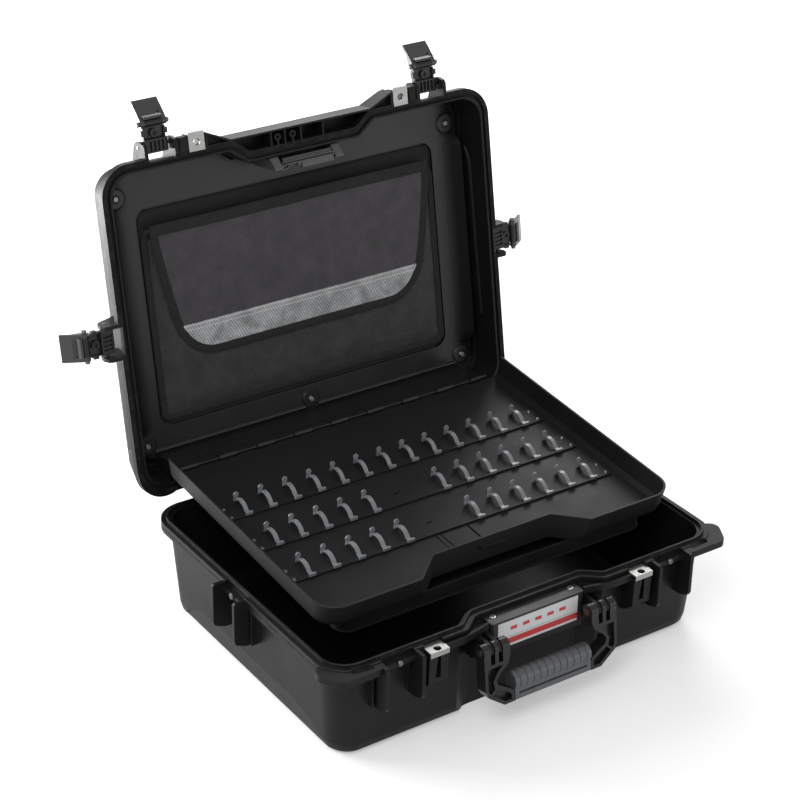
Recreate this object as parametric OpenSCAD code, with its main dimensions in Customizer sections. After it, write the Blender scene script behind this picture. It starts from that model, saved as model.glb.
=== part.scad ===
// Hard tool case, open: moulded base and lid on a rear hinge, a lid liner with a tool pouch, a folding tool
// tray with clip strips, four draw latches and a swinging carry handle. Millimetres. Origin: centre of the
// base's underside on the floor, X to the right, the handle side at -Y, Z up.

/* [Case] */
// Width over the rim
case_width = 540; // [520:1:570]
// Depth over the rim
case_depth = 404; // [396:1:430]
// Height of the base up to the rim
base_height = 128; // [118:1:170]
// Height of the lid over the rim
lid_height = 58; // [57:1:80]
// Wall of the base and lid mouldings
wall = 3.2; // [2.6:0.1:3.6]
// Plan radius of the rim's corners
corner_radius = 38; // [34:1:44]

/* [Lid and tray] */
// How far the lid stands open
lid_open_angle = 100; // [92:1:104]
// How far the open tray hangs below level at its front
tray_tilt = 4.2; // [2:0.1:6]
// Width over the tray's rim
tray_width = 489; // [470:1:491]
// Depth from the tray's hinge to its front
tray_reach = 352; // [340:1:353]
// Height of the tray's rim over its floor
tray_rim = 29; // [24:1:30]

/* [Handle and latches] */
// Angle of the handle out from straight down
handle_angle = 8; // [6:1:60]
// Distance of each front latch from the middle
latch_offset = 188; // [180:1:196]
// How far the latches are turned out from closed
latch_open_angle = 90; // [70:1:95]
// How far each latch lever is turned back on its link
lever_angle = 16; // [10:1:24]

/* [Tool clips] */
// Spacing of the clips along a strip
clip_pitch = 33.25; // [30:0.25:34]
// Spacing of the strips
strip_pitch = 68.5; // [64:0.5:70]

/* [Hidden] */
$fn = 48;
half_w = case_width / 2;
half_d = case_depth / 2;
rim_z = base_height;
hinge_y = half_d + 11.2;
hinge_z = rim_z - 5.5;
hinge_x = 150;
pivot_y = half_d - 32.5;
pivot_z = rim_z - 18.5;
fold_angle = lid_open_angle + tray_tilt;
flange = 9;
jog_in = 17.6;
jog_outer = 100.3;
jog_inner = 73.9;
jog_turn = 0.303;
tongue_out = 6.4;
tongue_in = 9;
liner_z = rim_z + 45.5;
floor_z = pivot_z - 2;
strip_y = [pivot_y - 103.3, pivot_y - 103.3 - strip_pitch, pivot_y - 103.3 - 2 * strip_pitch];
handle_y = -half_d - 17;
handle_z = rim_z - 23;
plate_x = 142;
eye = 0.01;

// ---- plan outlines ----

module rounded_plan(w, d, r) {
  square([w - 2 * r, d], center = true);
  square([w, d - 2 * r], center = true);
  for (sx = [-1, 1]) {
    for (sy = [-1, 1]) {
      translate([sx * (w / 2 - r), sy * (d / 2 - r)])
        circle(r = r);
    }
  }
}

// the bay for the handle, for an outline drawn this far in from the rim
module jog_plan(inset) {
  turn = inset - 7.7;
  front = -half_d + inset;
  outer = jog_outer + turn * jog_turn;
  inner = jog_inner + turn * jog_turn;
  polygon([[-outer, front - 60], [-outer, front - eye], [-outer + 3, front + 0.8], [-inner - 3, front + jog_in - 0.8],
    [-inner + 2, front + jog_in], [inner - 2, front + jog_in], [inner + 3, front + jog_in - 0.8],
    [outer - 3, front + 0.8], [outer, front - eye], [outer, front - 60]]);
}

// the rim's outline this far in, with the handle's bay
module rim_plan(inset) {
  difference() {
    rounded_plan(case_width - 2 * inset, case_depth - 2 * inset, corner_radius - inset);
    jog_plan(inset);
  }
}

// one layer of a drafted moulding, for hulls
module plan_layer(w, d, r, z) {
  translate([0, 0, z])
    linear_extrude(0.01)
      rounded_plan(w, d, r);
}

module place_mirrored(x) {
  for (s = [-1, 1]) {
    translate([s * x, 0, 0])
      children();
  }
}

// ---- places: the lid, the tray and the latches are drawn closed and turned open ----

module lid_place() {
  translate([0, hinge_y, hinge_z])
    rotate([-lid_open_angle, 0, 0])
      translate([0, -hinge_y, -hinge_z])
        children();
}

module tray_place() {
  lid_place()
    translate([0, pivot_y, pivot_z])
      rotate([fold_angle, 0, 0])
        translate([0, -pivot_y, -pivot_z])
          children();
}

// a latch's own frame on the rim: outward is -Y, the rim plane is Z = 0
module latch_seat(side) {
  if (side == "front_left") {
    translate([-latch_offset, -half_d, rim_z])
      children();
  }
  if (side == "front_right") {
    translate([latch_offset, -half_d, rim_z])
      children();
  }
  if (side == "side_left") {
    translate([-half_w, 3, rim_z])
      rotate([0, 0, -90])
        children();
  }
  if (side == "side_right") {
    translate([half_w, 3, rim_z])
      rotate([0, 0, 90])
        children();
  }
}

module all_latch_seats() {
  for (side = ["front_left", "front_right", "side_left", "side_right"]) {
    latch_seat(side)
      children();
  }
}

root_y = -11;
root_z = 17;
link_length = 26;

module link_place(side) {
  lid_place()
    latch_seat(side)
      translate([0, root_y, root_z])
        rotate([-latch_open_angle, 0, 0])
          children();
}

module lever_place(side) {
  link_place(side)
    translate([0, 0, -link_length])
      rotate([-lever_angle, 0, 0])
        children();
}

// ---- base ----

module base_outside() {
  draft = 7;
  w = case_width - 2 * flange;
  d = case_depth - 2 * flange;
  r = corner_radius - flange + 4;
  hull() {
    plan_layer(w, d, r, rim_z - 6);
    plan_layer(w - 2 * draft, d - 2 * draft, r - 2, 16);
    plan_layer(w - 2 * draft - 4.3, d - 2 * draft - 4.3, r - 4, 8);
    plan_layer(w - 2 * draft - 15, d - 2 * draft - 15, r - 8, 2.2);
    plan_layer(w - 2 * draft - 32, d - 2 * draft - 32, r - 14, 0);
  }
}

module base_inside() {
  draft = 7;
  w = case_width - 2 * flange - 2 * wall;
  d = case_depth - 2 * flange - 2 * wall;
  r = corner_radius - flange + 4 - wall;
  hull() {
    plan_layer(w, d, r, rim_z + 8);
    plan_layer(w, d, r, rim_z - 6);
    plan_layer(w - 2 * draft, d - 2 * draft, r - 2, 16);
    plan_layer(w - 2 * draft - 8, d - 2 * draft - 8, r - 5, 6);
    plan_layer(w - 2 * draft - 26, d - 2 * draft - 26, r - 12, 3.4);
  }
}

// the full-height set-back behind the handle, drafted with the walls
module bay_block(extra, top) {
  hull() {
    translate([0, 0, top])
      linear_extrude(0.01)
        jog_plan(flange + extra);
    translate([0, 0, -1])
      linear_extrude(0.01)
        jog_plan(flange + 4 + extra);
  }
}

module base_rim() {
  difference() {
    union() {
      // flange band
      translate([0, 0, rim_z - 12])
        linear_extrude(12)
          rim_plan(0);
      // seal tongue
      translate([0, 0, rim_z - 3])
        linear_extrude(6.2)
          rim_plan(tongue_out);
    }
    // drip groove round the band
    translate([0, 0, rim_z - 7])
      linear_extrude(1.6)
        difference() {
          rounded_plan(case_width + 40, case_depth + 40, corner_radius + 20);
          rounded_plan(case_width - 2.4, case_depth - 2.4, corner_radius - 1.2);
        }
  }
}

// guide ribs and catch bar of one latch
module latch_bay_ribs(depth) {
  for (s = [-1, 1]) {
    translate([s * 23.4 - 2.1, 0, 0])
      rotate([90, 0, 90])
        linear_extrude(4.2)
          polygon([[depth, -62], [-2, -61], [-14, -56], [-16, -52], [-16, -3], [-14, -1], [depth, -1]]);
  }
  // catch bar between the ribs and the web behind it
  translate([-22, -2.6, -12])
    cube([44, 2.6 + depth, 5.4]);
  translate([-22, -2.6, -12])
    cube([44, 3, 9]);
  // thin beads beside the ribs
  for (s = [-1, 1]) {
    translate([s * 29.5 - 0.9, 3, -60])
      cube([1.8, depth - 3, 50]);
  }
}

// strap eyes at the front corners
module corner_ear(s) {
  hull() {
    translate([s * (half_w - 50), -half_d - 1, rim_z - 9])
      cylinder(r = 10, h = 8);
    translate([s * (half_w - 12), -half_d + 1, rim_z - 9])
      cylinder(r = 12, h = 8);
    translate([s * (half_w - 3), -half_d + 18, rim_z - 9])
      cylinder(r = 12, h = 8);
  }
}

module strap_slot(s) {
  translate([s * (half_w - 36), -half_d, rim_z - 30])
    rotate([0, 0, s * 6])
      linear_extrude(40) {
        translate([-9, 0])
          circle(r = 4.2);
        translate([9, 0])
          circle(r = 4.2);
        square([18, 8.4], center = true);
      }
}

// lips that run from the padlock plates in to the handle's panel
module bay_lip(s) {
  y0 = -half_d - 6;
  translate([0, 0, rim_z - 13])
    linear_extrude(4)
      polygon([[s * 66, -half_d + 25], [s * 66, y0 + 8], [s * 84, y0 + 4], [s * 106, y0], [s * 130, y0],
        [s * 130, -half_d + 8], [s * 104, -half_d + 9], [s * 78, -half_d + 26]]);
  translate([0, 0, rim_z - 13])
    linear_extrude(8.5)
      polygon([[s * 66, y0 + 8], [s * 84, y0 + 4], [s * 106, y0], [s * 130, y0], [s * 130, y0 + 3.4],
        [s * 106, y0 + 3.4], [s * 85, y0 + 7.4], [s * 66, y0 + 11.4]]);
}

// boss under a padlock plate, with its through hole
module padlock_boss_base(s) {
  translate([s * plate_x - 12.5, -half_d - 11.4, rim_z - 13])
    cube([25, 20, 7.3]);
  for (e = [-1, 1]) {
    translate([s * plate_x + e * 10.6 - 1.9, 0, 0])
      rotate([90, 0, 90])
        linear_extrude(3.8)
          polygon([[-half_d + 14, rim_z - 60], [-half_d + 2, rim_z - 56], [-half_d - 10, rim_z - 46],
            [-half_d - 11.4, rim_z - 12], [-half_d + 14, rim_z - 12]]);
  }
  // front of the boss, over an open underside
  translate([s * plate_x - 12.4, 0, 0])
    rotate([90, 0, 90])
      linear_extrude(24.8)
        polygon([[-half_d - 8.6, rim_z - 45], [-half_d - 9.9, rim_z - 45.6], [-half_d - 11.4, rim_z - 12],
          [-half_d - 8.9, rim_z - 12]]);
}

module handle_lugs() {
  for (s = [-1, 1]) {
    for (x = [69.7, 80.3]) {
      difference() {
        translate([s * x - 2.2, 0, 0])
          rotate([90, 0, 90])
            linear_extrude(4.4) {
              translate([handle_y, handle_z])
                circle(r = 7.5);
              polygon([[handle_y, handle_z + 7.5], [handle_y, handle_z - 7.5], [-half_d + 9, handle_z - 26],
                [-half_d + 30, handle_z - 26], [-half_d + 30, handle_z + 9], [-half_d + 9, handle_z + 9]]);
            }
        translate([s * x - 5, handle_y, handle_z])
          rotate([0, 90, 0])
            cylinder(r = 3.05, h = 10);
      }
    }
  }
}

// hinge knuckles on the rear wall
module base_knuckles() {
  for (hx = [-hinge_x, hinge_x]) {
    for (x = [-27, 27]) {
      difference() {
        translate([hx + x - 9, 0, 0])
          rotate([90, 0, 90])
            linear_extrude(18) {
              translate([hinge_y, hinge_z])
                circle(r = 6);
              polygon([[hinge_y + 6, hinge_z], [hinge_y + 2, hinge_z - 9], [half_d - 8, hinge_z - 26],
                [half_d - 8, hinge_z - 6.5], [half_d - 1, hinge_z - 6.5], [hinge_y, hinge_z - 5.9]]);
            }
        translate([hx + x - 12, hinge_y, hinge_z])
          rotate([0, 90, 0])
            cylinder(r = 2.55, h = 24);
      }
    }
  }
}

module base_shell() {
  color("#1c1d1f")
    difference() {
      union() {
        difference() {
          base_outside();
          bay_block(0, rim_z + 4);
        }
        base_rim();
        all_latch_seats()
          latch_bay_ribs(13);
        corner_ear(-1);
        corner_ear(1);
        bay_lip(-1);
        bay_lip(1);
        padlock_boss_base(-1);
        padlock_boss_base(1);
        handle_lugs();
        base_knuckles();
      }
      difference() {
        base_inside();
        bay_block(wall, rim_z + 10);
      }
      // inside of the tongue
      translate([0, 0, rim_z - 1])
        linear_extrude(20)
          rim_plan(tongue_in);
      all_latch_seats() {
        translate([-21.3, -30, -6.6])
          cube([42.6, 30 + tongue_out - 1, 10]);
      }
      // padlock holes and the seats of their plates
      place_mirrored(plate_x) {
        translate([0, -half_d - 7, rim_z - 40])
          cylinder(r = 4.6, h = 60);
        translate([-12.6, -half_d - 14, rim_z - 5.7])
          cube([25.2, 19.7, 8]);
      }
      strap_slot(-1);
      strap_slot(1);
      // lightening pockets under the flange at the rear
      for (x = [-60, 0, 60]) {
        translate([x - 24, half_d - 8.4, rim_z - 20])
          cube([48, 6, 15]);
      }
      // the foot of each side wall set in between the corners
      for (s = [-1, 1]) {
        intersection() {
          translate([s * half_w, 0, 0])
            rotate([90, 0, 90])
              linear_extrude(60, center = true)
                polygon([[-172, -5], [-158, 12], [-138, 24], [-104, 33], [-50, 38], [50, 38], [104, 33],
                  [136, 22], [150, 10], [158, -5]]);
          translate([s * (half_w - 14.2), 0, 38])
            rotate([0, s * 11.5, 0])
              translate([s > 0 ? 0 : -60, -200, -60])
                cube([60, 400, 60]);
        }
      }
      // shallow panels in the underside, either side of a flat cross
      for (sx = [-1, 1]) {
        for (sy = [-1, 1]) {
          translate([sx * 98, 8 + sy * 66, -1])
            linear_extrude(2)
              rounded_plan(164, 100, 14);
        }
      }
    }
}

// steel eye plate with its front edge turned over the boss
module padlock_plate(depth, thick) {
  difference() {
    union() {
      translate([-12.4, -12, 0])
        cube([24.8, depth, thick]);
      translate([-12.4, -12, thick - 6.5])
        cube([24.8, 1.5, 6.5]);
    }
    translate([0, -6, -5])
      cylinder(r = 4.4, h = 20);
  }
}

module base_padlock_plates() {
  color("#c9cbce")
    place_mirrored(plate_x)
      translate([0, -half_d - 1, rim_z - 5.7])
        padlock_plate(18.5, 2);
}

module catch_studs() {
  color("#6b6d70")
    all_latch_seats() {
      translate([0, -2.6, -7.8])
        rotate([90, 0, 0])
          cylinder(r = 2.4, h = 1.8);
      translate([0, -4.4, -7.8])
        rotate([90, 0, 0])
          cylinder(r1 = 3.7, r2 = 2.6, h = 1.5);
    }
}

module handle_panel() {
  color("#222325")
    difference() {
      translate([0, 0, rim_z - 50])
        linear_extrude(44)
          polygon([[-64, -half_d + 25.2], [-64, -half_d + 1], [-62, -half_d - 1], [62, -half_d - 1],
            [64, -half_d + 1], [64, -half_d + 25.2]]);
      // step under the rim's band
      translate([-70, -half_d + 17.4, rim_z - 12.2])
        cube([140, 12, 10]);
      // label seat
      translate([-56, -half_d - 2, rim_z - 42.5])
        cube([112, 1.8, 34]);
      // screw seats
      place_mirrored(54)
        translate([0, -half_d + 12, rim_z - 8])
          cylinder(r = 4.3, h = 5);
      place_mirrored(54)
        translate([0, -half_d + 12, rim_z - 30])
          cylinder(r = 1.6, h = 25);
      // hollow underside
      for (x = [-42, 0, 42]) {
        translate([x - 18.5, -half_d + 3, rim_z - 52])
          cube([37, 19, 40]);
      }
    }
}

module panel_screws() {
  color("#d6d8da")
    place_mirrored(54)
      translate([0, -half_d + 12, rim_z - 8])
        difference() {
          union() {
            cylinder(r1 = 4.2, r2 = 3.6, h = 2.6);
            translate([0, 0, -14])
              cylinder(r = 1.5, h = 14 + eye);
          }
          for (a = [0, 90]) {
            rotate([0, 0, a])
              translate([-2.2, -0.5, 1.4])
                cube([4.4, 1, 3]);
          }
        }
}

module label_plate() {
  color("#c8cacb")
    translate([-55.6, -half_d - 1.1, rim_z - 42.1])
      cube([111.2, 0.9, 33.2]);
}

module hinge_pins() {
  color("#b9bbbe")
    for (hx = [-hinge_x, hinge_x]) {
      translate([hx - 37, hinge_y, hinge_z])
        rotate([0, 90, 0])
          cylinder(r = 2.5, h = 74);
    }
}

module handle_pins() {
  color("#c9cbce")
    for (s = [-1, 1]) {
      translate([s * 74.5 - 18.6, handle_y, handle_z])
        rotate([0, 90, 0])
          cylinder(r = 3, h = 37.2);
      for (e = [-1, 1]) {
        translate([s * 74.5 + e * 18.5 - 0.8, handle_y, handle_z])
          rotate([0, 90, 0])
            cylinder(r = 4, h = 1.6);
      }
    }
}

// ---- handle, drawn hanging straight down from its pins ----

module handle_place() {
  translate([0, handle_y, handle_z])
    rotate([-handle_angle, 0, 0])
      children();
}

module arm_plan() {
  polygon([[57, 0], [57, -11], [60, -20], [71.5, -29], [77, -36.5], [75, -42.5], [56, -54], [53.5, -59],
    [53.5, -69.5], [68, -69.5], [88.4, -54.5], [92, -47], [92, 0]]);
}

module handle_arm() {
  difference() {
    union() {
      rotate([90, 0, 0])
        translate([0, 0, -8])
          linear_extrude(16)
            arm_plan();
      // three knuckles
      for (k = [[57, 9.8], [72.6, 4.8], [83.2, 8.8]]) {
        translate([k[0], 0, 0])
          rotate([0, 90, 0])
            cylinder(r = 8.8, h = k[1]);
      }
    }
    // slots for the lugs
    for (x = [69.7, 80.3]) {
      translate([x - 2.9, -12, -15.5])
        cube([5.8, 24, 32]);
    }
    // windows both sides of the web
    for (e = [-1, 1]) {
      translate([0, e * 5.6, 0])
        rotate([90, 0, 0])
          translate([0, 0, -4])
            linear_extrude(8) {
              polygon([[66.5, -19.5], [88.2, -19.5], [88.2, -46.4], [85.4, -51.4], [79.4, -46.4], [81.4, -37],
                [74.6, -26.4]]);
              polygon([[76.6, -47.2], [82.8, -53.4], [66.6, -65.6], [57.6, -65.6], [57.6, -60], [59.4, -57.2]]);
            }
    }
    translate([50, 0, 0])
      rotate([0, 90, 0])
        cylinder(r = 3.06, h = 60);
  }
}

module handle_frame() {
  color("#202123")
    handle_place() {
      handle_arm();
      mirror([1, 0, 0])
        handle_arm();
      // core bar inside the grip
      translate([-56, -3, -66.5])
        cube([112, 6, 8]);
    }
}

module handle_grip() {
  color("#4c4f54")
    handle_place()
      difference() {
        rotate([90, 0, 90])
          translate([0, 0, -53])
            linear_extrude(106) {
              translate([0, -47.5])
                circle(r = 11);
              polygon([[-8.4, -50], [-8.4, -68.3], [-7.2, -69.5], [7.2, -69.5], [8.4, -68.3], [8.4, -50]]);
            }
        // grooves round the grip
        intersection() {
          for (i = [-5:5]) {
            translate([i * 9.3 - 0.5, 0, -47.5])
              rotate([0, 90, 0])
                difference() {
                  cylinder(r = 13, h = 1);
                  translate([0, 0, -1])
                    cylinder(r = 10.2, h = 3);
                }
          }
          translate([-60, -20, -55])
            cube([120, 40, 30]);
        }
        // long slit over the lower bar
        for (e = [-1, 1]) {
          translate([-47.5, e * 8.4 - 2.8, -62.6])
            cube([95, 5.6, 2.4]);
        }
        translate([-54, -3, -66.5])
          cube([108, 6, 8]);
      }
}

// ---- lid, drawn closed ----

module lid_outside() {
  w = case_width - 2 * flange;
  d = case_depth - 2 * flange;
  r = corner_radius - flange + 4;
  top = rim_z + lid_height;
  hull() {
    plan_layer(w, d, r, rim_z + 1);
    plan_layer(w - 6, d - 6, r - 1, top - 14);
    plan_layer(w - 10.6, d - 10.6, r - 3, top - 6.5);
    plan_layer(w - 21, d - 21, r - 7, top - 1.8);
    plan_layer(w - 34, d - 34, r - 12, top - 0.01);
  }
}

module lid_inside() {
  w = case_width - 2 * flange - 2 * wall;
  d = case_depth - 2 * flange - 2 * wall;
  r = corner_radius - flange + 4 - wall;
  top = rim_z + lid_height - 3;
  hull() {
    plan_layer(w, d, r, rim_z - 5);
    plan_layer(w, d, r, rim_z + 1);
    plan_layer(w - 6, d - 6, r - 1, top - 12);
    plan_layer(w - 12, d - 12, r - 3, top - 4.5);
    plan_layer(w - 28, d - 28, r - 9, top);
  }
}

module lid_bay_block(extra, top) {
  hull() {
    translate([0, 0, rim_z - 6])
      linear_extrude(0.01)
        jog_plan(flange + extra);
    translate([0, 0, top])
      linear_extrude(0.01)
        jog_plan(flange + extra + 3);
  }
}

module lid_latch_ears() {
  for (s = [-1, 1]) {
    difference() {
      translate([s * 19.6 - 2.2, 0, 0])
        rotate([90, 0, 90])
          linear_extrude(4.4)
            polygon([[13, 1], [-12, 1], [-16, 4], [-18, 12], [-17, 22], [-13, 27], [13, 38]]);
      translate([s * 19.6 - 5, root_y, root_z])
        rotate([0, 90, 0])
          cylinder(r = 2.04, h = 10);
    }
  }
}

// walled pocket over the handle, between the padlock plates
module lid_front_pocket() {
  y0 = -half_d - 1.4;
  for (s = [-1, 1]) {
    translate([0, 0, rim_z + 0.8])
      linear_extrude(26)
        polygon([[0, y0], [s * 97, y0], [s * 97, y0 + 2.3], [0, y0 + 2.3]]);
    // gusset rising to the padlock plate
    translate([0, 0, rim_z + 0.8])
      linear_extrude(22)
        polygon([[s * 95, y0], [s * 97, y0], [s * 130, y0 - 14.8], [s * 130, -half_d + 11],
          [s * 127.6, -half_d + 11], [s * 127.6, y0 - 11.2], [s * 98.4, y0 + 2.3], [s * 95, y0 + 2.3]]);
    translate([0, 0, rim_z + 9])
      linear_extrude(3)
        polygon([[s * 97, y0 + 1], [s * 129, y0 - 13], [s * 129, -half_d + 4], [s * 100, -half_d + 4]]);
  }
  for (x = [-43.5, -24.5, -2.5, 28.5]) {
    translate([x - 1, y0 + 1, rim_z + 0.8])
      cube([2, 29, 22]);
  }
  // floor of the pocket
  translate([0, 0, rim_z + 23.8])
    linear_extrude(3)
      polygon([[-128, y0 - 13], [-97, y0 + 0.2], [97, y0 + 0.2], [128, y0 - 13], [128, -half_d + 14],
        [90, -half_d + 31], [-90, -half_d + 31], [-128, -half_d + 14]]);
  // two keyhole bosses
  for (x = [-34.4, -13.8]) {
    difference() {
      union() {
        translate([x, y0 + 9.5, rim_z + 1])
          cylinder(r = 4.3, h = 24);
        translate([x - 1.1, y0 + 12, rim_z + 1])
          cube([2.2, 16, 24]);
      }
      translate([x, y0 + 9.5, rim_z])
        cylinder(r = 2, h = 18);
    }
  }
}

module padlock_boss_lid(s) {
  translate([s * plate_x - 11.4, -half_d - 16.6, rim_z + 3.2])
    cube([22.8, 28, 4]);
  for (e = [-1, 1]) {
    translate([s * plate_x + e * 10.4 - 1.3, 0, 0])
      rotate([90, 0, 90])
        linear_extrude(2.6)
          polygon([[-half_d + 13, rim_z + 4], [-half_d - 16.6, rim_z + 4], [-half_d - 16.6, rim_z + 14],
            [-half_d + 6, rim_z + 32], [-half_d + 13, rim_z + 32]]);
  }
  // block on the latch's side of the plate
  translate([s * 159.2 - 4.6, 0, 0])
    rotate([90, 0, 90])
      linear_extrude(9.2)
        polygon([[-half_d + 12, rim_z + 0.8], [-half_d - 14, rim_z + 0.8], [-half_d - 16, rim_z + 3],
          [-half_d - 15.4, rim_z + 14], [-half_d - 8, rim_z + 22], [-half_d + 12, rim_z + 30]]);
}

module lid_knuckles() {
  for (hx = [-hinge_x, hinge_x]) {
    difference() {
      translate([hx - 17.6, 0, 0])
        rotate([90, 0, 90])
          linear_extrude(35.2) {
            translate([hinge_y, hinge_z])
              circle(r = 6);
            polygon([[hinge_y + 6, hinge_z], [hinge_y + 2, hinge_z + 14], [half_d - 8, hinge_z + 30],
              [half_d - 8, hinge_z + 7], [half_d, hinge_z + 7], [hinge_y - 5.6, hinge_z + 2]]);
          }
      translate([hx - 20, hinge_y, hinge_z])
        rotate([0, 90, 0])
          cylinder(r = 2.56, h = 40);
    }
  }
}

module lid_solid() {
  difference() {
    union() {
      difference() {
        lid_outside();
        lid_bay_block(0, rim_z + lid_height + 4);
      }
      // flange band
      translate([0, 0, rim_z + 0.4])
        linear_extrude(10)
          rim_plan(0);
      // ears for the latches
      all_latch_seats()
        lid_latch_ears();
      lid_front_pocket();
      padlock_boss_lid(-1);
      padlock_boss_lid(1);
      lid_knuckles();
      // beads down the inside of the lid's ends
      for (s = [-1, 1]) {
        translate([s * 255.4, -104, rim_z + 26])
          rotate([-90, 0, 0])
            cylinder(r = 2.6, h = 244);
      }
      // corner bulges
      for (s = [-1, 1]) {
        hull() {
          translate([s * (half_w - 34), half_d - 30, rim_z + 0.4])
            cylinder(r = 33, h = 10);
          translate([s * (half_w - 44), half_d - 40, rim_z + 0.4])
            cylinder(r = 34, h = lid_height - 16);
        }
      }
    }
    difference() {
      lid_inside();
      lid_bay_block(wall, rim_z + lid_height + 6);
    }
    // groove for the gasket and the base's tongue
    translate([0, 0, rim_z])
      linear_extrude(6.4)
        difference() {
          rim_plan(tongue_out - 0.9);
          rim_plan(tongue_in + 0.9);
        }
    // space for the latches in the flange
    all_latch_seats() {
      translate([-17.4, -30, -1])
        cube([34.8, 30 + 5, 40]);
    }
    // padlock holes and the seats of their plates
    place_mirrored(plate_x) {
      translate([0, -half_d - 7, rim_z - 1])
        cylinder(r = 4.6, h = 30);
      translate([-10.7, -half_d - 19.4, rim_z - 1])
        cube([21.4, 22.9, 4.2]);
    }
    // two fine grooves round the face of the rim
    for (i = [1.5, 3.5]) {
      translate([0, 0, rim_z - 1])
        linear_extrude(2.2)
          difference() {
            rim_plan(i);
            rim_plan(i + 0.9);
          }
    }
    // ribbed top panel
    for (x = [-120, -60, 0, 60, 120]) {
      translate([x - 4, -120, rim_z + lid_height - 1])
        cube([8, 240, 3]);
    }
  }
}

module lid_shell() {
  color("#1c1d1f")
    lid_place()
      lid_solid();
}

module lid_gasket() {
  color("#0f1011")
    lid_place()
      translate([0, 0, rim_z + 3.9])
        linear_extrude(2.5)
          difference() {
            rim_plan(tongue_out - 0.9);
            rim_plan(tongue_in + 0.9);
          }
}

module lid_padlock_plates() {
  color("#c9cbce")
    lid_place()
      place_mirrored(plate_x)
        translate([0, -half_d - 1, rim_z + 3.2])
          mirror([0, 0, 1])
            difference() {
              union() {
                translate([-10.5, -16.6, 0])
                  cube([21, 21, 1.8]);
                translate([-10.5, -18.1, -5])
                  cube([21, 1.5, 6.8]);
              }
              translate([0, -6, -8])
                cylinder(r = 4.4, h = 20);
            }
}

module latch_root_pins() {
  color("#8d9093")
    lid_place()
      all_latch_seats()
        translate([-22.4, root_y, root_z])
          rotate([0, 90, 0])
            cylinder(r = 2, h = 44.8);
}

// ---- lid liner ----

module liner_plan(inset) {
  difference() {
    translate([0, -4])
      rounded_plan(2 * 246 - 2 * inset, 2 * 177 - 2 * inset, 26 - inset);
    jog_plan(flange + wall + 4 + inset);
  }
}

module lid_liner() {
  color("#242527")
    lid_place()
      difference() {
        union() {
          // panel
          translate([0, 0, liner_z])
            linear_extrude(2.6)
              liner_plan(0);
          // upturned edge
          translate([0, 0, liner_z - 3])
            linear_extrude(3.4)
              difference() {
                liner_plan(0);
                liner_plan(2.4);
              }
          // recess for the pouch
          translate([0, 1.5, liner_z])
            linear_extrude(7.4)
              rounded_plan(425, 276, 18);
          // bead along the shelf
          translate([-222, pivot_y - 4.5, liner_z + 0.5])
            rotate([0, 90, 0])
              cylinder(r = 3, h = 444);
          // shelf out to the tray's hinge
          translate([-222, pivot_y - 1.4, pivot_z + 3.2])
            cube([444, 2.8, liner_z - pivot_z - 2.2]);
          for (s = [-1, 1]) {
            translate([s * 221 - 1.2, pivot_y - 1.4, pivot_z + 7])
              cube([2.4, 18, liner_z - pivot_z - 6]);
            translate([s * 225 - 6, pivot_y + 14, liner_z - 9.6])
              cube([12, 2.6, 3.4]);
          }
          // hinge knuckles
          for (x = [-212:53:212]) {
            translate([x - 12, pivot_y, pivot_z])
              rotate([0, 90, 0])
                cylinder(r = 3.2, h = 24);
            translate([x - 12, pivot_y - 1.4, pivot_z])
              cube([24, 2.8, 6]);
          }
          // screw seats
          for (p = [[-233, -152.5], [233, -152.5], [-232, 155.5], [232, 155.5], [0, 155.5]]) {
            translate([p[0], p[1], liner_z - 1])
              cylinder(r = 13.5, h = 9);
          }
        }
        translate([0, 1.5, liner_z - 8])
          linear_extrude(13)
            rounded_plan(420, 271, 16);
        for (p = [[-233, -152.5], [233, -152.5], [-232, 155.5], [232, 155.5], [0, 155.5]]) {
          translate([p[0], p[1], liner_z - 8])
            cylinder(r = 12.4, h = 8.4);
          translate([p[0], p[1], liner_z - 8])
            cylinder(r = 2.1, h = 30);
        }
        translate([-230, pivot_y, pivot_z])
          rotate([0, 90, 0])
            cylinder(r = 1.56, h = 460);
        // slots in the shelf
        for (x = [-206, -178.5, -151, -123.5, 123.5, 151, 178.5, 206]) {
          translate([x - 5, pivot_y - 4, pivot_z + 20])
            cube([10, 8, 2.4]);
        }
        translate([-62, pivot_y - 4, pivot_z + 14])
          cube([124, 8, 4]);
      }
}

module liner_washers() {
  color("#1a1b1c")
    lid_place()
      for (p = [[-233, -152.5], [233, -152.5], [-232, 155.5], [232, 155.5], [0, 155.5]]) {
        translate([p[0], p[1], liner_z - 1.6])
          rotate_extrude()
            polygon([[2.2, 0.8], [4.4, 0.8], [5.2, 0], [11.2, 0], [12, 0.9], [12, 1.9], [2.2, 1.9]]);
      }
}

module liner_screws() {
  color("#cfd1d3")
    lid_place() {
      for (p = [[-233, -152.5], [233, -152.5], [-232, 155.5], [232, 155.5], [0, 155.5]]) {
        translate([p[0], p[1], liner_z - 2.8])
          difference() {
            union() {
              cylinder(r1 = 2.6, r2 = 3.6, h = 1.7);
              translate([0, 0, 1])
                cylinder(r = 1.9, h = 9.2);
            }
            translate([-2, -0.4, -0.5])
              cube([4, 0.8, 1.3]);
            translate([-0.4, -2, -0.5])
              cube([0.8, 4, 1.3]);
          }
      }
    }
}

module tray_hinge_rod() {
  color("#b9bbbe")
    lid_place()
      translate([-226, pivot_y, pivot_z])
        rotate([0, 90, 0])
          cylinder(r = 1.5, h = 452);
}

// ---- pouch ----

module pouch_back() {
  color("#2b2c2e")
    lid_place()
      translate([0, 5, liner_z + 2.3])
        linear_extrude(2.7)
          rounded_plan(408, 250, 10);
}

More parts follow.
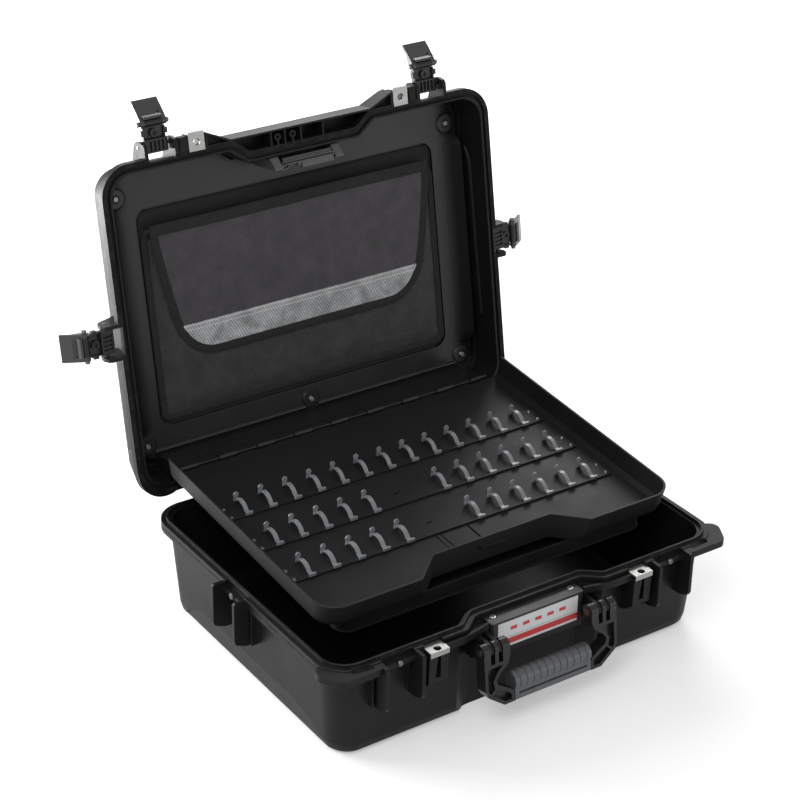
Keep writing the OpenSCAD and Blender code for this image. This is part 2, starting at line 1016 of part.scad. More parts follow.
module pouch_front() {
  color("#2b2c2e")
    lid_place()
      difference() {
        hull() {
          translate([0, 5, liner_z + 2.2])
            linear_extrude(0.1)
              rounded_plan(404, 246, 10);
          translate([0, 9, liner_z - 7])
            linear_extrude(0.1)
              rounded_plan(386, 232, 14);
        }
        difference() {
          hull() {
            translate([0, 5, liner_z + 2.3])
              linear_extrude(0.1)
                rounded_plan(400, 242, 9);
            translate([0, 9, liner_z - 5])
              linear_extrude(0.1)
                rounded_plan(382, 228, 12);
          }
        }
        // open mouth under the flap
        translate([-176, -130, liner_z - 12])
          cube([352, 34, 9]);
      }
}

module pouch_binding() {
  color("#17181a")
    lid_place() {
      translate([-186, -123, liner_z - 9.8])
        cube([372, 4.5, 12.1]);
    }
}

module pouch_flap() {
  color("#2f3033")
    lid_place()
      translate([0, 0, liner_z - 9.6])
        linear_extrude(2) {
          polygon([[-178, -118], [178, -118], [174, -20], [166, 20], [160, 34], [-160, 34], [-166, 20], [-174, -20]]);
          polygon([[-160, 33], [160, 33], [152, 46], [142, 53], [130, 56], [-130, 56], [-142, 53], [-152, 46]]);
        }
}

module flap_band() {
  color("#8b8e93")
    lid_place()
      translate([0, 0, liner_z - 10.4])
        linear_extrude(0.8)
          polygon([[-162, 12], [162, 12], [157, 24], [145, 41], [-145, 41], [-157, 24]]);
}

// ---- tray catch at the lid's front ----

module catch_bracket() {
  color("#242527")
    lid_place() {
      difference() {
        union() {
          translate([-48, -half_d + 33.4, rim_z + 2])
            cube([96, 12, 40]);
          // wedge-shaped ends
          for (s = [-1, 1]) {
            translate([s * 42.5 - 5.5, 0, rim_z])
              rotate([90, 0, 90])
                linear_extrude(11)
                  polygon([[-half_d + 31.4, 5], [-half_d + 31.4, 2], [-half_d + 43.4, -9], [-half_d + 45.4, -9],
                    [-half_d + 45.4, 5]]);
          }
        }
        translate([-37, -half_d + 32, rim_z - 9])
          cube([74, 9.8, 31]);
        translate([-16, -half_d + 38, rim_z - 9])
          cube([52, 12, 20]);
        translate([-40, -half_d + 39.4, rim_z + 16])
          rotate([0, 90, 0])
            cylinder(r = 1.62, h = 80);
      }
      // half-round finger rest
      translate([-31, -half_d + 37.6, rim_z - 1])
        difference() {
          intersection() {
            cylinder(r = 11.6, h = 8);
            translate([-20, 5.4, -1])
              cube([40, 20, 12]);
          }
          translate([0, 0, -1])
            cylinder(r = 9.6, h = 3.4);
        }
    }
}

// sprung flap with a hook under the tray's ledge and a notch for a finger
module tray_catch() {
  color("#55585c")
    lid_place()
      difference() {
        union() {
          translate([-36, -half_d + 37.4, rim_z - 6.4])
            cube([72, 3.8, 26]);
          // hooked bar under the tray's ledge
          translate([-9, -half_d + 41, rim_z - 6.4])
            cube([44, 8.2, 2.4]);
          translate([-14.6, -half_d + 41, rim_z - 6.4])
            cube([4.4, 4, 4.4]);
          // hollow thumb panel
          translate([-34, 0, rim_z])
            rotate([90, 0, 90])
              linear_extrude(68)
                polygon([[-half_d + 33.6, -1], [-half_d + 33.6, -3.6], [-half_d + 35, -4], [-half_d + 36.8, -5],
                  [-half_d + 38.6, -6.8], [-half_d + 39.8, -9.4], [-half_d + 41.2, -9.4], [-half_d + 41.2, -1]]);
        }
        translate([-37, -half_d + 39.4, rim_z + 16])
          rotate([0, 90, 0])
            cylinder(r = 1.62, h = 74);
      }
}

module catch_pin() {
  color("#8d9093")
    lid_place()
      translate([-40, -half_d + 39.4, rim_z + 16])
        rotate([0, 90, 0])
          cylinder(r = 1.56, h = 80);
}

// ---- tray, drawn closed ----

module tray_layer(w, front, r, z) {
  d = pivot_y - 2 - front;
  translate([0, front + d / 2, z])
    linear_extrude(0.01) {
      rounded_plan(w, d, r);
      translate([0, d / 4])
        rounded_plan(w, d / 2, 9);
    }
}

module tray_outside() {
  front = pivot_y - tray_reach;
  top = floor_z + tray_rim;
  hull() {
    tray_layer(tray_width, front, 30, top - 0.01);
    tray_layer(tray_width - 7, front + 4, 28, floor_z + 7);
    tray_layer(tray_width - 11.4, front + 6.4, 26, floor_z + 1.4);
    tray_layer(tray_width - 22, front + 12, 22, floor_z - 3);
  }
}

module tray_inside() {
  front = pivot_y - tray_reach + 2.4;
  top = floor_z + tray_rim;
  hull() {
    translate([0, 40, 0])
      tray_layer(tray_width - 4.8, front - 40, 28, top + 1);
    translate([0, 40, 0])
      tray_layer(tray_width - 11.6, front - 36, 26, floor_z + 6);
    translate([0, 40, 0])
      tray_layer(tray_width - 20, front - 31, 22, floor_z);
  }
}

module tray_jog(extra) {
  front = pivot_y - tray_reach - 30;
  back = pivot_y - 320.3 + extra;
  translate([0, 0, floor_z - 20])
    linear_extrude(80)
      polygon([[-136 - extra, front], [-118.2 - extra / 2, front + 29.6 + extra], [-83 - extra / 2, back - 1],
        [-79 - extra / 2, back], [79 + extra / 2, back], [83 + extra / 2, back - 1],
        [118.2 + extra / 2, front + 29.6 + extra], [136 + extra, front]]);
}

module tray_shell() {
  top = floor_z + tray_rim;
  color("#202123")
    tray_place()
      difference() {
        union() {
          difference() {
            tray_outside();
            tray_jog(0);
            // room for the shelf's knuckles
            translate([-250, pivot_y, pivot_z])
              rotate([0, 90, 0])
                cylinder(r = 3.7, h = 500);
          }
          // hinge leaves
          for (x = [-185.5:53:185.5]) {
            translate([x - 12, pivot_y, pivot_z])
              rotate([0, 90, 0])
                cylinder(r = 3.2, h = 24);
            translate([x - 12, pivot_y - 8, floor_z - 1.6])
              cube([24, 8, 3]);
          }
          // ledge for the catch
          translate([-18, pivot_y - 325, rim_z - 3.6])
            cube([36, 5.6, 3]);
          // bead along the rear edge of the floor
          translate([-222, pivot_y - 9.5, floor_z])
            cube([444, 2.4, 2.2]);
        }
        difference() {
          tray_inside();
          tray_jog(2.4);
        }
        translate([-230, pivot_y, pivot_z])
          rotate([0, 90, 0])
            cylinder(r = 1.56, h = 460);
        // openings in the middle of the floor: a tongue cut free on three sides, and a slit
        translate([-30, strip_y[2] - 37.2, floor_z - 8])
          linear_extrude(12)
            difference() {
              square([8.6, 39], center = true);
              translate([0, 1.6])
                square([5.4, 39], center = true);
            }
        translate([9.8, strip_y[2] - 57.6, floor_z - 8])
          cube([2.4, 40, 12]);
      }
}

module tray_pan() {
  front = pivot_y - 337;
  color("#1b1c1e")
    tray_place()
      difference() {
        union() {
          translate([0, front + 155, floor_z - 22.2])
            linear_extrude(19.1)
              rounded_plan(424, 310, 16);
          // lip round the foot
          translate([0, front + 155, floor_z - 22.2])
            linear_extrude(1.6)
              rounded_plan(426.4, 312.4, 17.2);
        }
        translate([0, front + 155, floor_z - 20.2])
          linear_extrude(30)
            rounded_plan(420, 306, 14);
      }
}

module clip_strips() {
  color("#18191b")
    tray_place() {
      for (i = [0, 1, 2]) {
        difference() {
          translate([-226, strip_y[i] - 17, floor_z + 0.02])
            cube([452, 30, 2.2]);
          // slots left by the spare places
          if (i > 0) {
            translate([-clip_pitch + 1.6, strip_y[i] + 4, floor_z - 1])
              cube([9, 2, 5]);
          }
        }
      }
    }
}

module strip_rivets() {
  color("#d6d8da")
    tray_place()
      for (i = [0, 1, 2]) {
        for (x = [-221, 221]) {
          translate([x, strip_y[i] + 6, floor_z + 2.22])
            cylinder(r1 = 2.8, r2 = 1.8, h = 1.2);
          translate([x, strip_y[i] - 12, floor_z + 2.22])
            cylinder(r1 = 2.8, r2 = 1.8, h = 1.2);
        }
      }
}

// one sprung tool clip: an upright paddle, an arched strap and a flared foot
module tool_clip() {
  translate([-2.6, 14, -0.5])
    cube([5.2, 1.8, 9]);
  translate([0, 15.8, 8.5])
    rotate([90, 0, 0])
      cylinder(r = 3.4, h = 1.8);
  translate([-2.6, 0, 0])
    rotate([90, 0, 90])
      linear_extrude(5.2)
        difference() {
          intersection() {
            translate([3, -7])
              circle(r = 15.2);
            translate([-12, -0.5])
              square([30, 20]);
          }
          translate([3, -7])
            circle(r = 13.4);
        }
  translate([-2.6, -15.4, -0.5])
    cube([5.2, 6, 1.8]);
  translate([-4.6, -17.4, -0.5])
    cube([9.2, 2.6, 3.6]);
}

module clip_row(i, skip) {
  color("#8f9499")
    tray_place()
      for (k = [-6:6]) {
        if (!skip || k < -1 || k > 0) {
          translate([k * clip_pitch, strip_y[i], floor_z + 2.24 + 0.5])
            tool_clip();
        }
      }
}

module clips_rear() {
  clip_row(0, false);
}

module clips_middle() {
  clip_row(1, true);
}

module clips_front() {
  clip_row(2, true);
}

// ---- latches: the link hangs from the lid's ears, the lever turns on the link's pin ----

module latch_link() {
  color("#2a2b2d")
    difference() {
      union() {
        // ribbed root block
        translate([-14.4, -4.8, -7.6])
          cube([28.8, 10, 16]);
        // dished plate with raised edges
        translate([-14.4, -4.8, -21])
          cube([28.8, 4, 14]);
        for (s = [-1, 1]) {
          translate([s * 13.4 - 1, -4.8, -21])
            cube([2, 6.6, 14]);
          translate([s * 15.4 - 1.6, -2.8, -18])
            cube([3.2, 5.4, 6.4]);
        }
        translate([0, 2.8, -14])
          rotate([90, 0, 0])
            cylinder(r = 5.2, h = 4);
        // knuckle for the lever's pin
        translate([-11, 0, -link_length])
          rotate([0, 90, 0])
            cylinder(r = 4.3, h = 22);
        translate([-11, -4.3, -link_length])
          cube([22, 3.6, 6]);
      }
      for (x = [-7.8, -2.6, 2.6, 7.8]) {
        translate([x - 1.7, 2.7, -5.6])
          cube([3.4, 4, 12]);
      }
      translate([-20, 0, 0])
        rotate([0, 90, 0])
          cylinder(r = 2.06, h = 40);
      translate([-20, 0, -link_length])
        rotate([0, 90, 0])
          cylinder(r = 1.94, h = 40);
      // crossed recess in the boss
      for (a = [0, 90]) {
        translate([0, 3, -14])
          rotate([0, a, 0])
            cube([6.4, 4.4, 1.7], center = true);
      }
    }
}

module latch_lever() {
  color("#242527")
    difference() {
      union() {
        // legs on the pin, outside the link's knuckle
        for (s = [-1, 1]) {
          translate([s * 14.1 - 2.7, 0, 0])
            rotate([90, 0, 90])
              linear_extrude(5.4) {
                circle(r = 4.4);
                polygon([[-4.4, 0], [-5.4, -7], [-5, -15], [-1.8, -15.4], [1.4, -9], [4.4, 0]]);
              }
        }
        // hooked bar between the legs
        translate([-12, 0, 0])
          rotate([90, 0, 90])
            linear_extrude(24)
              polygon([[-5.3, -5.4], [-5.4, -9.6], [0.6, -9.6], [4.4, -6.6], [4.6, -3.8], [4, -3.8],
                [3, -5.4]]);
        // bent finger plate
        translate([-16.8, 0, 0])
          rotate([90, 0, 90])
            linear_extrude(33.6)
              polygon([[-5.4, -9], [-5.2, -15], [-11, -27], [-7.8, -28.4], [-1.4, -15.6], [-2, -9]]);
      }
      translate([-20, 0, 0])
        rotate([0, 90, 0])
          cylinder(r = 1.96, h = 40);
    }
}

module latch_pin() {
  color("#3a3b3e") {
    translate([-20.4, 0, 0])
      rotate([0, 90, 0])
        rotate_extrude()
          polygon([[0, 0], [2.5, 0], [3, 0.5], [3, 3.2], [1.9, 3.2], [1.9, 37.6], [3, 37.6], [3, 40.3],
            [2.5, 40.8], [0, 40.8]]);
  }
}

module link_pin_place(side) {
  link_place(side)
    translate([0, 0, -link_length])
      children();
}

module link_front_left() {
  link_place("front_left")
    latch_link();
}

module link_front_right() {
  link_place("front_right")
    latch_link();
}

module link_side_left() {
  link_place("side_left")
    latch_link();
}

module link_side_right() {
  link_place("side_right")
    latch_link();
}

module lever_front_left() {
  lever_place("front_left")
    latch_lever();
}

module lever_front_right() {
  lever_place("front_right")
    latch_lever();
}

module lever_side_left() {
  lever_place("side_left")
    latch_lever();
}

module lever_side_right() {
  lever_place("side_right")
    latch_lever();
}

module pin_front_left() {
  link_pin_place("front_left")
    latch_pin();
}

module pin_front_right() {
  link_pin_place("front_right")
    latch_pin();
}

module pin_side_left() {
  link_pin_place("side_left")
    latch_pin();
}

module pin_side_right() {
  link_pin_place("side_right")
    latch_pin();
}

// ---- every piece ----

base_shell();
base_padlock_plates();
catch_studs();
handle_panel();
panel_screws();
label_plate();
hinge_pins();
handle_pins();
handle_frame();
handle_grip();
lid_shell();
lid_gasket();
lid_padlock_plates();
latch_root_pins();
lid_liner();
liner_washers();
liner_screws();
tray_hinge_rod();
pouch_back();
pouch_front();
pouch_binding();
pouch_flap();
flap_band();
catch_bracket();
tray_catch();
catch_pin();
tray_shell();
tray_pan();
clip_strips();
strip_rivets();
clips_rear();
clips_middle();
clips_front();
link_front_left();
link_front_right();
link_side_left();
link_side_right();
lever_front_left();
lever_front_right();
lever_side_left();
lever_side_right();
pin_front_left();
pin_front_right();
pin_side_left();
pin_side_right();
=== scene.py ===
import math

import bmesh
import bpy
from mathutils import Matrix, Vector, noise


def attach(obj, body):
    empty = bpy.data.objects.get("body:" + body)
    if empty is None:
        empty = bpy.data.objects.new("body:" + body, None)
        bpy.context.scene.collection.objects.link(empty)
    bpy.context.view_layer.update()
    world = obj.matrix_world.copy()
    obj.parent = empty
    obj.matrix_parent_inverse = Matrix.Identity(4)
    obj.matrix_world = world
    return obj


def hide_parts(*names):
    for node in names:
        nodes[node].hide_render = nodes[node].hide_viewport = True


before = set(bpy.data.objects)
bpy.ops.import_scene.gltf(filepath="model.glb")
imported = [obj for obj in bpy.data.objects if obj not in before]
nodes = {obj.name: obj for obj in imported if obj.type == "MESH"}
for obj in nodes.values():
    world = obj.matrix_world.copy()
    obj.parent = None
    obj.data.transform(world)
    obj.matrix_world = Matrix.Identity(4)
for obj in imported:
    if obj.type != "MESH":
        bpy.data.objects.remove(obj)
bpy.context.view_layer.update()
print("frame loaded,", len(nodes), "solid nodes")

# camera and set

viewPoint = {
    "place": (-1.2927, -1.7921, 1.4755),
    "yaw": -34.68,
    "pitch": 28.20,
    "roll": 1.13,
    "lens": 98.81,
}


def makeCamera(values):
    yaw, pitch, roll = (math.radians(values[k]) for k in ("yaw", "pitch", "roll"))
    back = Vector((math.sin(yaw) * math.cos(pitch), -math.cos(yaw) * math.cos(pitch), math.sin(pitch)))
    right = Vector((math.cos(yaw), math.sin(yaw), 0))
    up = back.cross(right)
    c, s = math.cos(roll), math.sin(roll)
    turned = Matrix((c * right + s * up, c * up - s * right, back)).transposed().to_4x4()
    camera = bpy.data.objects.new("camera", bpy.data.cameras.new("camera"))
    camera.data.lens = values["lens"]
    camera.data.sensor_width = 36
    camera.data.clip_start = 0.05
    camera.data.clip_end = 60
    camera.matrix_world = Matrix.Translation(values["place"]) @ turned
    bpy.context.scene.collection.objects.link(camera)
    bpy.context.scene.camera = camera


makeCamera(viewPoint)
bpy.context.scene.view_settings.view_transform = "Standard"


def put(tree, kind, inputs=None, **settings):
    node = tree.nodes.new(kind)
    for key, value in settings.items():
        setattr(node, key, value)
    for key, value in (inputs or {}).items():
        if isinstance(value, bpy.types.NodeSocket):
            tree.links.new(value, node.inputs[key])
        else:
            node.inputs[key].default_value = value
    return node


def maths(tree, operation, *terms):
    return put(tree, "ShaderNodeMath", dict(enumerate(terms)), operation=operation).outputs[0]


def ramp(tree, value, start, end, low, high):
    # low at start, high at end, straight between and level beyond
    limits = {"Value": value, "From Min": start, "From Max": end, "To Min": low, "To Max": high}
    return put(tree, "ShaderNodeMapRange", limits).outputs[0]


def noiseOf(tree, place, **settings):
    inputs = {key.capitalize(): value for key, value in settings.items()}
    return put(tree, "ShaderNodeTexNoise", {"Vector": place, **inputs}).outputs["Fac"]


def bumpOf(tree, height, strength, distance, normal=None):
    inputs = {"Strength": strength, "Distance": distance, "Height": height}
    if normal is not None:
        inputs["Normal"] = normal
    return put(tree, "ShaderNodeBump", inputs).outputs[0]


def groupOf(tree, group, place):
    node = put(tree, "ShaderNodeGroup", node_tree=group)
    tree.links.new(place, node.inputs["Vector"])
    return node


def blank(name):
    material = bpy.data.materials.new(name)
    material.use_nodes = True
    tree = material.node_tree
    tree.nodes.clear()
    shader = tree.nodes.new("ShaderNodeBsdfPrincipled")
    out = tree.nodes.new("ShaderNodeOutputMaterial")
    tree.links.new(shader.outputs[0], out.inputs[0])
    return material, tree, shader


studio = {
    "ambient": 0.46,
    "floorColour": (0.80, 0.80, 0.81, 1),
    "floorLift": 0.34,
    "floorRough": 0.85,
    "floorReach": 20,
    "mirroredSky": 0.8,
    # place and aim in metres, size of the panel, watts and, in degrees, how far its light spreads
    "lamps": {
        "key": {
            "place": (-1.6, -1.4, 2.4), "aim": (0, 0, 0.2),
            "size": (1.3, 1.3), "watts": 28, "spread": 180,
        },
        "rim": {
            "place": (-1.55, 1.75, 0.75), "aim": (-0.2, 0.2, 0.35),
            "size": (1.5, 1.0), "watts": 72, "spread": 180,
        },
        "fill": {
            "place": (1.55, -2.0, 0.62), "aim": (0.1, 0.3, 0.4),
            "size": (1.7, 0.9), "watts": 6, "spread": 180,
        },
        "back": {
            "place": (1.35, 2.2, 1.8), "aim": (0, 0.3, 0.5),
            "size": (1.7, 1.2), "watts": 48, "spread": 180,
        },
        "lidEdge": {
            "place": (-0.78, 1.22, 0.14), "aim": (-0.27, 0.27, 0.46),
            "size": (0.5, 0.34), "watts": 0.8, "spread": 38,
        },
    },
}


def makeStudio(values):
    world = bpy.data.worlds.new("studio")
    bpy.context.scene.world = world
    world.use_nodes = True
    tree = world.node_tree
    tree.nodes.clear()
    path = tree.nodes.new("ShaderNodeLightPath")
    seen = maths(tree, "MAXIMUM", path.outputs["Is Camera Ray"], path.outputs["Is Transmission Ray"])
    gloss = maths(tree, "MULTIPLY", path.outputs["Is Glossy Ray"], values["mirroredSky"])
    strength = maths(tree, "MAXIMUM", seen, gloss)
    level = maths(tree, "MAXIMUM", strength, values["ambient"])
    sky = put(tree, "ShaderNodeBackground", {"Color": (1, 1, 1, 1), "Strength": level})
    out = tree.nodes.new("ShaderNodeOutputWorld")
    tree.links.new(sky.outputs[0], out.inputs[0])

    for name, panel in values["lamps"].items():
        lamp = bpy.data.lights.new(name, "AREA")
        lamp.shape = "RECTANGLE"
        lamp.size, lamp.size_y = panel["size"]
        lamp.energy = panel["watts"]
        lamp.spread = math.radians(panel["spread"])
        holder = bpy.data.objects.new(name, lamp)
        holder.location = panel["place"]
        holder.rotation_mode = "QUATERNION"
        holder.rotation_quaternion = (Vector(panel["aim"]) - Vector(panel["place"])).to_track_quat("-Z", "Y")
        bpy.context.scene.collection.objects.link(holder)

    bm = bmesh.new()
    bmesh.ops.create_grid(bm, x_segments=1, y_segments=1, size=values["floorReach"])
    mesh = bpy.data.meshes.new("floor")
    bm.to_mesh(mesh)
    bm.free()
    floor = bpy.data.objects.new("floor", mesh)
    bpy.context.scene.collection.objects.link(floor)
    material, tree, shader = blank("paleFloor")
    shader.inputs["Base Color"].default_value = values["floorColour"]
    shader.inputs["Roughness"].default_value = values["floorRough"]
    shader.inputs["Emission Color"].default_value = (1, 1, 1, 1)
    path = tree.nodes.new("ShaderNodeLightPath")
    seen = maths(tree, "MAXIMUM", path.outputs["Is Camera Ray"], path.outputs["Is Glossy Ray"])
    lift = maths(tree, "MULTIPLY", seen, values["floorLift"])
    tree.links.new(lift, shader.inputs["Emission Strength"])
    mesh.materials.append(material)


makeStudio(studio)
print("camera and studio ready")

# shared shader effects


def newGroup(name, ins, outs):
    tree = bpy.data.node_groups.new(name, "ShaderNodeTree")
    for label, kind, value in ins:
        socket = tree.interface.new_socket(name=label, in_out="INPUT", socket_type=kind)
        if value is not None:
            socket.default_value = value
    for label, kind in outs:
        tree.interface.new_socket(name=label, in_out="OUTPUT", socket_type=kind)
    return tree, tree.nodes.new("NodeGroupInput"), tree.nodes.new("NodeGroupOutput")


def makeGrainGroup():
    # spark-eroded mould grain, with a broad unevenness of the gloss
    tree, given, out = newGroup(
        "mouldGrain",
        [("Vector", "NodeSocketVector", None), ("Scale", "NodeSocketFloat", 1200.0)],
        [("Height", "NodeSocketFloat"), ("Mottle", "NodeSocketFloat")],
    )
    place, scale = given.outputs[0], given.outputs[1]
    fine = noiseOf(tree, place, scale=scale, detail=3.0, roughness=0.6)
    coarser = maths(tree, "MULTIPLY", scale, 0.38)
    cells = put(tree, "ShaderNodeTexVoronoi", {"Vector": place, "Scale": coarser}, feature="SMOOTH_F1")
    height = maths(tree, "MULTIPLY_ADD", cells.outputs["Distance"], 0.55, fine)
    mottle = noiseOf(tree, place, scale=14.0, detail=5.0, roughness=0.62)
    tree.links.new(height, out.inputs[0])
    tree.links.new(mottle, out.inputs[1])
    return tree


def makeEdgeGroup():
    # how far a point lies on a rounded edge, broken up by noise
    tree, given, out = newGroup(
        "edgeMaskAndBevel",
        [("Vector", "NodeSocketVector", None), ("Radius", "NodeSocketFloat", 0.0012)],
        [("Mask", "NodeSocketFloat"), ("Normal", "NodeSocketVector")],
    )
    rounded = put(tree, "ShaderNodeBevel", {"Radius": given.outputs[1]}, samples=3).outputs[0]
    flat = tree.nodes.new("ShaderNodeNewGeometry").outputs["Normal"]
    turned = put(tree, "ShaderNodeVectorMath", {0: rounded, 1: flat}, operation="DOT_PRODUCT")
    edge = ramp(tree, turned.outputs["Value"], 0.995, 0.90, 0.0, 1.0)
    patches = noiseOf(tree, given.outputs[0], scale=90.0, detail=4.0)
    mask = maths(tree, "MULTIPLY", edge, ramp(tree, patches, 0.42, 0.62, 0.0, 1.0))
    tree.links.new(mask, out.inputs[0])
    tree.links.new(rounded, out.inputs[1])
    return tree


def makeWeaveGroup():
    # threads that run both ways, from a cloth piece's own map in metres
    tree, given, out = newGroup(
        "weave",
        [("Vector", "NodeSocketVector", None), ("Threads", "NodeSocketFloat", 900.0)],
        [("Height", "NodeSocketFloat"), ("Gaps", "NodeSocketFloat"), ("Slub", "NodeSocketFloat")],
    )
    place, threads = given.outputs[0], given.outputs[1]
    parts = put(tree, "ShaderNodeSeparateXYZ", {0: place})
    warp, weft = (maths(tree, "SINE", maths(tree, "MULTIPLY", parts.outputs[k], threads)) for k in (0, 1))
    crossing = maths(tree, "MULTIPLY", warp, weft)
    gaps = maths(tree, "MINIMUM", maths(tree, "ABSOLUTE", warp), maths(tree, "ABSOLUTE", weft))
    height = maths(tree, "MULTIPLY_ADD", crossing, 0.5, gaps)
    slub = noiseOf(tree, place, scale=60.0, detail=5.0, roughness=0.65)
    for value, socket in zip((height, gaps, slub), out.inputs):
        tree.links.new(value, socket)
    return tree


grainGroup = makeGrainGroup()
edgeGroup = makeEdgeGroup()
weaveGroup = makeWeaveGroup()


def mixColour(tree, factor, a, b):
    node = put(tree, "ShaderNodeMix", data_type="RGBA")
    for index, value in ((0, factor), (6, a), (7, b)):
        if isinstance(value, bpy.types.NodeSocket):
            tree.links.new(value, node.inputs[index])
        else:
            node.inputs[index].default_value = value
    return node.outputs[2]


def grey(level, tint=0.0):
    return (level, level * (1 + tint * 0.4), level * (1 + tint), 1)


# level and tint of the colour, roughness, gloss, grain per metre and its depth in metres,
# radius at which edges look rounded, and the level the edges are lightened to, part rubbed wear and part
# painted highlight
mouldings = {
    "shellPlastic": {
        "level": 0.0078, "tint": -0.12, "rough": 0.47, "gloss": 0.16,
        "grain": 1500, "depth": 0.00016, "edge": 0.0011, "edgeWearAndHighlight": 0.085,
    },
    "trayPlastic": {
        "level": 0.0080, "tint": 0.02, "rough": 0.54, "gloss": 0.23,
        "grain": 2300, "depth": 0.00006, "edge": 0.0008, "edgeWearAndHighlight": 0.026,
    },
    "linerPlastic": {
        "level": 0.0100, "tint": 0.02, "rough": 0.34, "gloss": 0.36,
        "grain": 1700, "depth": 0.00012, "edge": 0.0010, "edgeWearAndHighlight": 0.030,
        # duller toward the ends: from and to in metres across, and the gloss there
        "glossFade": (0.219, 0.238, 0.03),
    },
    "panelPlastic": {
        "level": 0.0170, "tint": 0.02, "rough": 0.42, "gloss": 0.30,
        "grain": 1700, "depth": 0.00012, "edge": 0.0010, "edgeWearAndHighlight": 0.070,
    },
    "bracketPlastic": {
        "level": 0.0560, "tint": 0.02, "rough": 0.36, "gloss": 0.50,
        "grain": 1700, "depth": 0.00012, "edge": 0.0010, "edgeWearAndHighlight": 0.110,
    },
    "latchPlastic": {
        "level": 0.0085, "tint": 0.03, "rough": 0.30, "gloss": 0.34,
        "grain": 2600, "depth": 0.00005, "edge": 0.0006, "edgeWearAndHighlight": 0.045,
    },
    "leverPlastic": {
        "level": 0.0200, "tint": 0.03, "rough": 0.27, "gloss": 0.62,
        "grain": 2600, "depth": 0.00005, "edge": 0.0006, "edgeWearAndHighlight": 0.090,
    },
    "gripRubber": {
        "level": 0.0660, "tint": 0.14, "rough": 0.36, "gloss": 0.60,
        "grain": 2200, "depth": 0.00010, "edge": 0.0007, "edgeWearAndHighlight": 0.140,
    },
    "clipNylon": {
        "level": 0.2100, "tint": 0.12, "rough": 0.34, "gloss": 0.45,
        "grain": 2600, "depth": 0.00004, "edge": 0.0004, "edgeWearAndHighlight": 0.300,
    },
    "gasketRubber": {
        "level": 0.0060, "tint": 0.00, "rough": 0.70, "gloss": 0.25,
        "grain": 2400, "depth": 0.00008, "edge": 0.0005, "edgeWearAndHighlight": 0.012,
    },
}


# shared by all of them: darkest and palest share of the level in the mottle, how much the lightened
# edges (rubbed wear and painted highlight) show, how far the roughness strays, and the strength of the grain
mouldLook = {"mottle": (0.82, 1.2), "patchMarks": 0.55, "roughSpan": (-0.05, 0.06), "grainStrength": 0.55}


def moulded(name, look=mouldLook):
    values = mouldings[name]
    level, tint, rough, gloss = (values[key] for key in ("level", "tint", "rough", "gloss"))
    material, tree, shader = blank(name)
    place = tree.nodes.new("ShaderNodeTexCoord").outputs["Object"]
    grain = groupOf(tree, grainGroup, place)
    grain.inputs["Scale"].default_value = values["grain"]
    edgeNode = groupOf(tree, edgeGroup, place)
    edgeNode.inputs["Radius"].default_value = values["edge"]
    mottle = grain.outputs["Mottle"]
    dark, pale = (grey(level * share, tint) for share in look["mottle"])
    tone = mixColour(tree, mottle, dark, pale)
    # lighten the rounded edges: partly rubbed wear, partly a painted highlight
    edgeWearAndHighlight = maths(tree, "MULTIPLY", edgeNode.outputs["Mask"], look["patchMarks"])
    tree.links.new(mixColour(tree, edgeWearAndHighlight, tone, grey(values["edgeWearAndHighlight"], tint)), shader.inputs["Base Color"])
    smoother, rougher = (rough + stray for stray in look["roughSpan"])
    tree.links.new(ramp(tree, mottle, 0.3, 0.7, smoother, rougher), shader.inputs["Roughness"])
    strength = look["grainStrength"]
    bump = bumpOf(tree, grain.outputs["Height"], strength, values["depth"], edgeNode.outputs["Normal"])
    tree.links.new(bump, shader.inputs["Normal"])
    shader.inputs["Specular IOR Level"].default_value = gloss
    if "glossFade" in values:
        start, end, low = values["glossFade"]
        across = put(tree, "ShaderNodeSeparateXYZ", {0: place}).outputs[0]
        fade = ramp(tree, maths(tree, "ABSOLUTE", across), start, end, gloss, low)
        tree.links.new(fade, shader.inputs["Specular IOR Level"])
    return material


metals = {
    "zincPlate": {"colour": (0.36, 0.36, 0.35, 1), "rough": 0.38, "scratch": 0.00003},
    "darkSteel": {"colour": (0.16, 0.16, 0.165, 1), "rough": 0.38, "scratch": 0.00004},
    "blackSteel": {"colour": (0.045, 0.045, 0.047, 1), "rough": 0.40, "scratch": 0.00004},
}


# shared by all of them: the share of the colour that stains leave, how far the roughness strays,
# the strength of the brushed lines and the radius at which edges look rounded
metalLook = {"stain": 0.72, "roughSpan": (-0.08, 0.12), "lineStrength": 0.4, "edge": 0.0004}


def metal(name, look=metalLook):
    colour, rough, scratch = (metals[name][key] for key in ("colour", "rough", "scratch"))
    material, tree, shader = blank(name)
    place = tree.nodes.new("ShaderNodeTexCoord").outputs["Object"]
    stretch = put(tree, "ShaderNodeMapping", {"Vector": place, "Scale": (1.0, 9.0, 9.0)})
    lines = noiseOf(tree, stretch.outputs[0], scale=260.0, detail=4.0)
    stain = noiseOf(tree, place, scale=120.0, detail=3.0)
    dull = tuple(c * look["stain"] for c in colour[:3]) + (1,)
    tree.links.new(mixColour(tree, stain, dull, colour), shader.inputs["Base Color"])
    smoother, rougher = (rough + stray for stray in look["roughSpan"])
    tree.links.new(ramp(tree, lines, 0.3, 0.7, smoother, rougher), shader.inputs["Roughness"])
    edgeNode = groupOf(tree, edgeGroup, place)
    edgeNode.inputs["Radius"].default_value = look["edge"]
    bump = bumpOf(tree, lines, look["lineStrength"], scratch, edgeNode.outputs["Normal"])
    tree.links.new(bump, shader.inputs["Normal"])
    shader.inputs["Metallic"].default_value = 1.0
    return material


